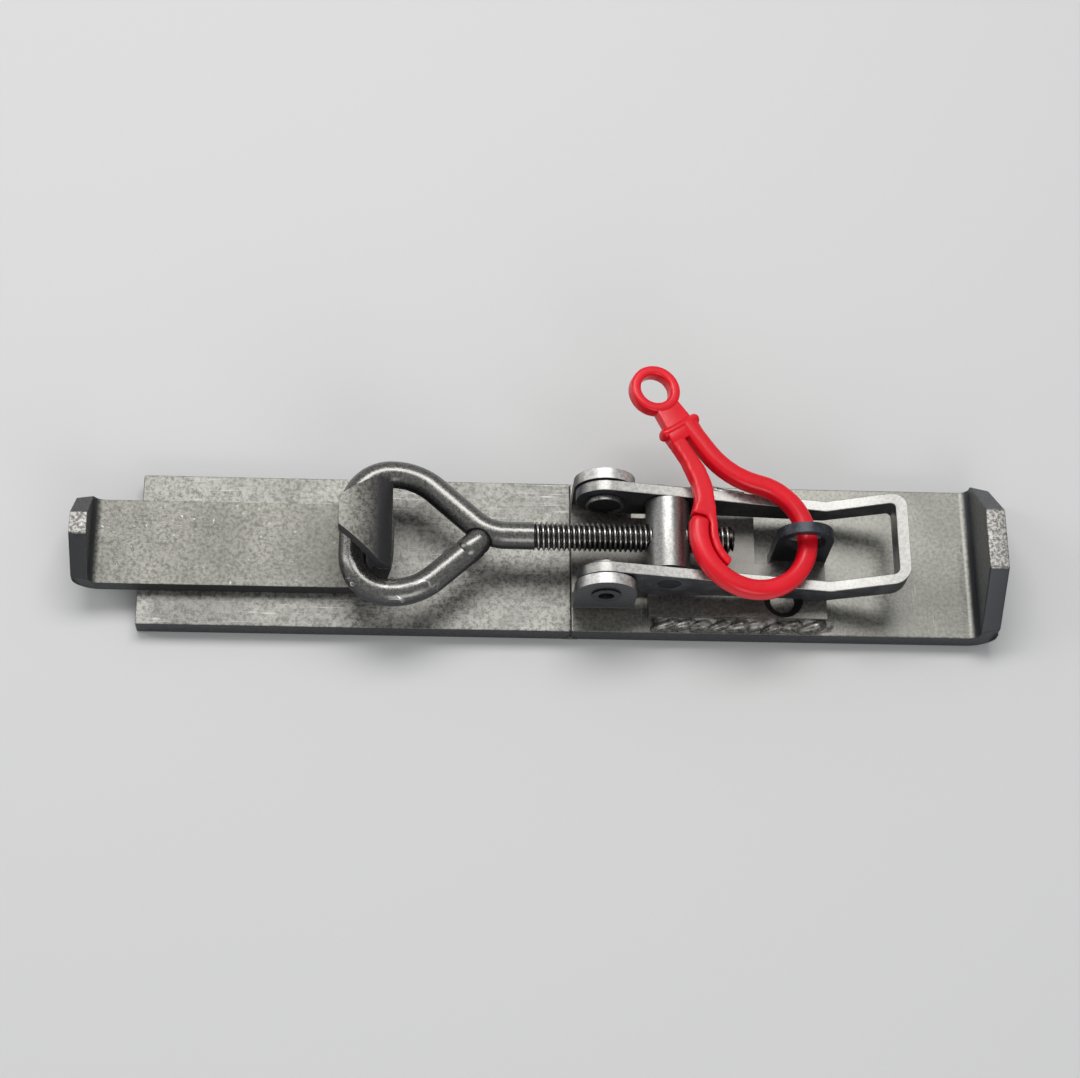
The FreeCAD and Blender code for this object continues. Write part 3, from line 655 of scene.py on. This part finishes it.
def weld(node, finish):
    """Overlapping ripples laid along the CAD bead, over a plain core of the same size."""
    low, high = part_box(node)
    reach = high.y - low.y
    height = high.z - low.z
    side = 1 if high.y > 0 else -1
    foot = low.y if side > 0 else high.y
    core = forged_copy(node, node + "_core")
    open_mesh(core)
    bpy.ops.transform.resize(value=(0.99, 0.92, 0.8),
                             center_override=((low.x + high.x) / 2, foot, low.z))
    for taper_start in (low.x + 2 * MM, high.x - 6 * MM):
        bpy.ops.mesh.select_all(action="SELECT")
        bpy.ops.mesh.bisect(plane_co=(taper_start, 0, 0), plane_no=(1, 0, 0))
    for end in (-1, 1):
        select_faces(core, lambda middle, normal: normal.x * end > 0.9)
        bpy.ops.transform.resize(value=(1, 0.75, 0.2), center_override=(0, foot, low.z))
    close_mesh()
    count = int((high.x - low.x - BEAD_ENDS) / RIPPLE_SPACING) + 1
    first = weld_ripple(node + "_ripple", RIPPLE_LENGTH, reach * 0.98, height * 0.92)
    laid = [core]
    for number in range(count):
        ripple = copy_of(first, f"{node}_ripple_{number}")
        wander = sin(2.3 * number + 0.7)
        turn = Matrix.Rotation(radians(-side * (15 + 6 * wander)), 4, "Z")
        lean = Matrix.Rotation(radians(side * -24), 4, "X")
        heave = cos(1.7 * number)
        swell = Matrix.Diagonal((1 + 0.12 * wander, 1 - 0.08 * wander, 1 + 0.05 * heave, 1))
        place = Vector((
            low.x + BEAD_LEAD + number * RIPPLE_SPACING + 0.5 * MM * wander,
            foot + side * (reach * 0.34 + 0.15 * MM * cos(3.1 * number)),
            low.z + 0.15 * MM,
        ))
        ripple.matrix_world = Matrix.Translation(place) @ turn @ lean @ swell
        settle(ripple)
        laid.append(ripple)
    bpy.data.objects.remove(first)
    bead = join(laid, node + "_rippled")
    open_mesh(bead)
    bpy.ops.mesh.bisect(plane_co=(0, 0, low.z), plane_no=(0, 0, 1), use_fill=False, clear_inner=True)
    close_mesh()
    take(bead)
    bpy.ops.object.shade_smooth_by_angle(angle=radians(50))
    put_on(bead, "base_bar", "weld_metal", finish, node)


def seam(finish):
    """The butt weld below keeps its CAD shape, with its edges eased."""
    bead = forged_copy("butt_weld_seam", "butt_weld_dressed")
    break_edges(bead, 0.12 * MM)
    put_on(bead, "base_bar", "weld_metal", finish, "butt_weld_seam")


# ---------------------------------------------------------------- lever, rivets and barrel


def lever():
    strip = forged_copy("lever", "lever_bent_strip")
    break_edges(strip, SHEET_EDGE, segments=3)
    put_on(strip, "lever", "sheet_steel", finish_lever(), "lever")


def rivets():
    low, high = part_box("pivot_rivet_front")
    finish = finish_rivet(((low.x + high.x) / 2, 0, (low.z + high.z) / 2))
    for side in ("front", "back"):
        rivet = forged_copy("pivot_rivet_" + side, "rivet_headed_" + side)
        break_edges(rivet, 0.22 * MM, segments=2, angle=35)
        put_on(rivet, "base_bar", "rivet_steel", finish, "pivot_rivet_" + side)


def barrel():
    nut = forged_copy("barrel", "barrel_turned")
    break_edges(nut, 0.25 * MM, segments=2, angle=50)
    put_on(nut, "barrel", "turned_steel", finish_turned(), "barrel")


# ---------------------------------------------------------------- rod, its loop and its thread


PITCH = 1.411 * MM
THREAD_CREST = 3.97 * MM
THREAD_ROOT = 3.2 * MM
THREAD_START = -11.0 * MM
THREAD_OVERLAP = 0.3 * MM  # how far the thread runs on into the plain shank
THREAD_POINT = 0.9 * MM    # the length that is pointed at the rod's end

WIRE_RADIUS = 3.75 * MM
TIP_AHEAD = -26.7 * MM     # the middle of the rounded end, which lies against the shank
TIP_ASIDE = -2.57 * MM
TIP_ABOVE = 0.75 * MM
TIP_TURN = radians(42)
TIP_LENGTH = 3.0 * MM


def rod_loop():
    """The bent rod as far as its thread, with the rounded free end lying on the shank."""
    low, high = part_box("loop_rod")
    rise = (low.z + high.z) / 2
    rod = forged_copy("loop_rod", "rod_bent_loop")
    open_mesh(rod)
    bpy.ops.mesh.bisect(plane_co=(THREAD_START - THREAD_OVERLAP, 0, 0), plane_no=(1, 0, 0),
                        use_fill=True, clear_outer=True)
    close_mesh()
    take(rod)
    bpy.ops.object.shade_smooth_by_angle(angle=radians(50))

    bpy.ops.mesh.primitive_uv_sphere_add(segments=32, ring_count=16, radius=WIRE_RADIUS)
    tip = named("rod_free_end")
    open_mesh(tip)
    bpy.ops.transform.rotate(value=radians(90), orient_axis="Y", center_override=(0, 0, 0))
    select_faces(tip, lambda middle, normal: middle.x < 0)
    bpy.ops.transform.translate(value=(-TIP_LENGTH, 0, 0))
    bpy.ops.mesh.select_all(action="SELECT")
    bpy.ops.transform.resize(value=(1, 0.98, 1.03))
    close_mesh()
    tip_place = (TIP_AHEAD, TIP_ASIDE, rise + TIP_ABOVE)
    tip.matrix_world = Matrix.Translation(tip_place) @ Matrix.Rotation(TIP_TURN, 4, "Z")
    settle(tip)
    take(tip)
    bpy.ops.object.shade_smooth()
    put_on(rod, "rod", "rod_steel", finish_rod("drawn_rod_steel", low.x, tip_place), "loop_rod")
    put_on(tip, "rod", "rod_steel", finish_rod("rounded_end_steel", low.x))


def rod_thread():
    """One turn of the thread's outline, wound along the rod by a screw modifier."""
    low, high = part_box("loop_rod")
    rise = (low.z + high.z) / 2
    depth = THREAD_CREST - THREAD_ROOT
    bpy.ops.mesh.primitive_plane_add(size=0.2 * MM, location=(0, 0, 0))
    thread = named("rod_thread")
    open_mesh(thread)
    bpy.ops.mesh.merge(type="CENTER")
    bpy.ops.transform.translate(value=(THREAD_START - 2 * PITCH, 0, THREAD_ROOT))
    for run, climb in ((0.10, 0), (0.36, depth), (0.18, 0), (0.36, -depth)):
        bpy.ops.mesh.extrude_region_move(TRANSFORM_OT_translate={"value": (run * PITCH, 0, climb)})
    close_mesh()
    turns = int((high.x - THREAD_START) / PITCH) + 4
    apply_modifier(thread, "SCREW", axis="X", angle=2 * pi, screw_offset=PITCH, iterations=turns,
                   steps=28, render_steps=28, use_merge_vertices=True, merge_threshold=0.001 * MM)
    open_mesh(thread)
    bpy.ops.mesh.bisect(plane_co=(THREAD_START - THREAD_OVERLAP, 0, 0), plane_no=(1, 0, 0),
                        use_fill=True, clear_inner=True)
    bpy.ops.mesh.select_all(action="SELECT")
    bpy.ops.mesh.bisect(plane_co=(high.x - 0.02 * MM, 0, 0), plane_no=(1, 0, 0),
                        use_fill=True, clear_outer=True)
    bpy.ops.mesh.select_all(action="SELECT")
    bpy.ops.mesh.normals_make_consistent(inside=False)
    select_edges(thread, lambda middle, way: middle.x > high.x - THREAD_POINT)
    bpy.ops.transform.resize(value=(1, 0.8, 0.8), center_override=(high.x, 0, 0))
    close_mesh()
    thread.location = (0, 0, rise)
    settle(thread)
    take(thread)
    bpy.ops.object.shade_smooth_by_angle(angle=radians(30))
    put_on(thread, "rod", "rod_steel", finish_thread(rise, THREAD_CREST, THREAD_ROOT))


# ---------------------------------------------------------------- snap hook


HOOK_RADIUS = 15.8 * MM    # the loop, to the middle of its wire
HOOK_BEAD = 36.8 * MM      # from the loop's centre to the bead, and to the ring's centre
HOOK_RING = 49.4 * MM
LOOP_START = 48            # degrees round the loop at which the spring leg leaves it
LOOP_SPAN = 270.5          # degrees from there to the nose
LEG_BEND = 44              # degrees of the leg's bend back towards the neck
LEG_RADIUS = 23.0 * MM
NOSE_STEP = 1.5            # degrees of each of the steps that round the nose off
HOOK_PLACE = Vector((48.9 * MM, -0.8 * MM, 25.0 * MM))
HOOK_LIE = Matrix.Rotation(radians(11.3), 4, "Y") @ Matrix.Rotation(radians(33.8), 4, "Z")


def lay_in_hook_plane(piece):
    """Moves a piece from the hook's own plane to where the hook hangs in the eye."""
    piece.matrix_world = Matrix.Translation(HOOK_PLACE) @ HOOK_LIE
    settle(piece)


def bar_section(name, place, width, height, rounding, heading):
    """A rounded rectangle standing across a heading in the hook's own plane, ready to be drawn out."""
    bpy.ops.mesh.primitive_plane_add(size=1, location=(0, 0, 0))
    piece = named(name)
    open_mesh(piece)
    bpy.ops.transform.resize(value=(width, height, 1))
    bpy.ops.mesh.bevel(offset=rounding, offset_type="OFFSET", segments=5, affect="VERTICES")
    close_mesh()
    piece.matrix_world = (Matrix.Translation(place) @ Matrix.Rotation(radians(heading), 4, "Z")
                          @ Matrix.Rotation(radians(90), 4, "Y") @ Matrix.Rotation(radians(90), 4, "Z"))
    settle(piece)
    open_mesh(piece)
    return piece


def draw_round(centre, degrees, steps):
    """Draws the selected section round a centre, in the hook's own plane."""
    bpy.ops.mesh.spin(steps=steps, dupli=False, angle=radians(degrees), center=centre, axis=(0, 0, 1))


def hook_wire():
    """The spring leg and loop, drawn from below the bead round to the open nose."""
    start = radians(LOOP_START)
    lean = LOOP_START - LEG_BEND
    slope = radians(90 - lean)
    lead = Vector((HOOK_RADIUS * cos(start), HOOK_RADIUS * sin(start), 0))
    centre = lead * (1 + LEG_RADIUS / HOOK_RADIUS)
    leg = centre + LEG_RADIUS * Vector((cos(radians(180 + lean)), sin(radians(180 + lean)), 0))
    top = leg + Vector((-cos(slope), sin(slope), 0)) * ((HOOK_BEAD - leg.y) / sin(slope))
    wire = bar_section("hook_wire", top, width=5.1 * MM, height=5.2 * MM, rounding=1.75 * MM,
                       heading=lean - 90)
    bpy.ops.mesh.extrude_region_move(TRANSFORM_OT_translate={"value": leg - top})
    draw_round(centre, -LEG_BEND, steps=12)
    draw_round((0, 0, 0), LOOP_SPAN, steps=66)
    for shrink in (0.96, 0.9, 0.78):
        draw_round((0, 0, 0), NOSE_STEP, steps=1)
        bpy.ops.transform.resize(value=(shrink, shrink, shrink))
    close_mesh()
    return wire


def hook_ring():
    ring = bar_section("hook_ring", Vector((5.7 * MM, HOOK_RING, 0)), width=2.8 * MM,
                       height=4.4 * MM, rounding=0.9 * MM, heading=90)
    draw_round((0, HOOK_RING, 0), 360, steps=56)
    close_mesh()
    return ring


def hook_neck():
    """The flat neck, waisted up to the ring and filled out below the bead where both legs start."""
    bpy.ops.mesh.primitive_cube_add(size=1, location=(0, 0, 0))
    neck = named("hook_neck")
    open_mesh(neck)
    bpy.ops.transform.resize(value=(8.6 * MM, 8.0 * MM, 3.6 * MM))
    bpy.ops.transform.translate(value=(0, HOOK_BEAD + 4.0 * MM, 0))
    select_faces(neck, lambda middle, normal: normal.y > 0.9)
    bpy.ops.transform.resize(value=(0.82, 1, 1))
    select_faces(neck, lambda middle, normal: normal.y < -0.9)
    bpy.ops.mesh.extrude_region_move(TRANSFORM_OT_translate={"value": (-0.1 * MM, -0.4 * MM, 0)})
    bpy.ops.transform.resize(value=(1.17, 1, 1.3))
    bpy.ops.mesh.extrude_region_move(TRANSFORM_OT_translate={"value": (-0.1 * MM, -3.4 * MM, 0)})
    bpy.ops.transform.resize(value=(1.02, 1, 0.84))
    close_mesh()
    apply_modifier(neck, "BEVEL", width=1.1 * MM, segments=4, limit_method="ANGLE",
                   angle_limit=radians(40), use_clamp_overlap=True)
    return neck


def hook_bead():
    """The round bar across the neck, standing out past both its sides."""
    bpy.ops.mesh.primitive_cylinder_add(vertices=28, radius=1.7 * MM, depth=12.4 * MM,
                                        location=(0, HOOK_BEAD, 0), rotation=(0, radians(90), 0))
    bead = named("hook_bead")
    settle(bead)
    open_mesh(bead)
    bpy.ops.transform.resize(value=(1, 1, 1.5), center_override=(0, HOOK_BEAD, 0))
    close_mesh()
    apply_modifier(bead, "BEVEL", width=1.1 * MM, segments=4, limit_method="ANGLE",
                   angle_limit=radians(50), use_clamp_overlap=True)
    return bead


def snap_hook(finish):
    pieces = [hook_wire(), hook_ring(), hook_neck(), hook_bead()]
    for piece in pieces:
        face_outwards(piece)
        lay_in_hook_plane(piece)
    hook = join(pieces, "snap_hook_moulded")
    take(hook)
    bpy.ops.object.shade_smooth_by_angle(angle=radians(45))
    put_on(hook, "snap_hook", "red_plastic", finish, "snap_hook_body")
    gate = forged_copy("snap_hook_gate", "snap_gate_moulded")
    apply_modifier(gate, "REMESH", mode="VOXEL", voxel_size=0.28 * MM)
    apply_modifier(gate, "SMOOTH", factor=0.5, iterations=30)
    take(gate)
    bpy.ops.object.shade_smooth()
    put_on(gate, "gate", "red_plastic", finish, "snap_hook_gate")


# ---------------------------------------------------------------- floor, light and camera


PAPER = (0.60, 0.60, 0.59, 1)
DAYLIGHT = (0.95, 0.97, 1.0, 1)
DAYLIGHT_STRENGTH = 0.42


def floor():
    bpy.ops.mesh.primitive_plane_add(size=40, location=(0, 0, -0.05 * MM))
    ground = named("pale_floor")
    material = bpy.data.materials.new("pale_paper")
    material.use_nodes = True
    shader = material.node_tree.nodes["Principled BSDF"]
    shader.inputs["Base Color"].default_value = PAPER
    shader.inputs["Roughness"].default_value = 0.85
    ground.data.materials.append(material)


def soft_box(name, place, size, across, power):
    """A rectangular lamp that points at the middle of the part."""
    light = bpy.data.lights.new(name, "AREA")
    light.shape = "RECTANGLE"
    light.size = size
    light.size_y = across
    light.energy = power
    lamp = bpy.data.objects.new(name, light)
    bpy.context.scene.collection.objects.link(lamp)
    lamp.location = place
    lamp.rotation_euler = (-Vector(place)).to_track_quat("-Z", "Y").to_euler()


def lights():
    soft_box("overhead_soft_box", place=(-0.05, 0.40, 0.85), size=0.75, across=0.35, power=5.6)
    soft_box("side_strip", place=(-0.8, 0.2, 0.5), size=0.15, across=0.8, power=1.8)
    soft_box("front_soft_box", place=(0.25, -0.95, 0.55), size=0.7, across=0.5, power=3.0)
    world = bpy.data.worlds.new("pale_room")
    world.use_nodes = True
    sky = world.node_tree.nodes["Background"]
    sky.inputs["Color"].default_value = DAYLIGHT
    sky.inputs["Strength"].default_value = DAYLIGHT_STRENGTH
    bpy.context.scene.world = world


def camera():
    bpy.context.scene.view_settings.view_transform = "Standard"
    lens = bpy.data.cameras.new("camera")
    lens.sensor_width = 36
    lens.sensor_fit = "HORIZONTAL"
    lens.lens = 79.344
    lens.clip_start = 0.01
    lens.clip_end = 20
    viewer = bpy.data.objects.new("camera", lens)
    bpy.context.scene.collection.objects.link(viewer)
    viewer.location = (-0.04793, -0.25868, 0.62018)
    viewer.rotation_euler = (radians(23.2292), radians(-3.5546), radians(-0.2643))
    bpy.context.scene.camera = viewer


bars()
latch_base()
weld_finish = finish_weld()
weld("weld_bead_front", weld_finish)
weld("weld_bead_back", weld_finish)
seam(weld_finish)
lever()
rivets()
barrel()
rod_loop()
rod_thread()
snap_hook(finish_red_plastic())
floor()
lights()
camera()
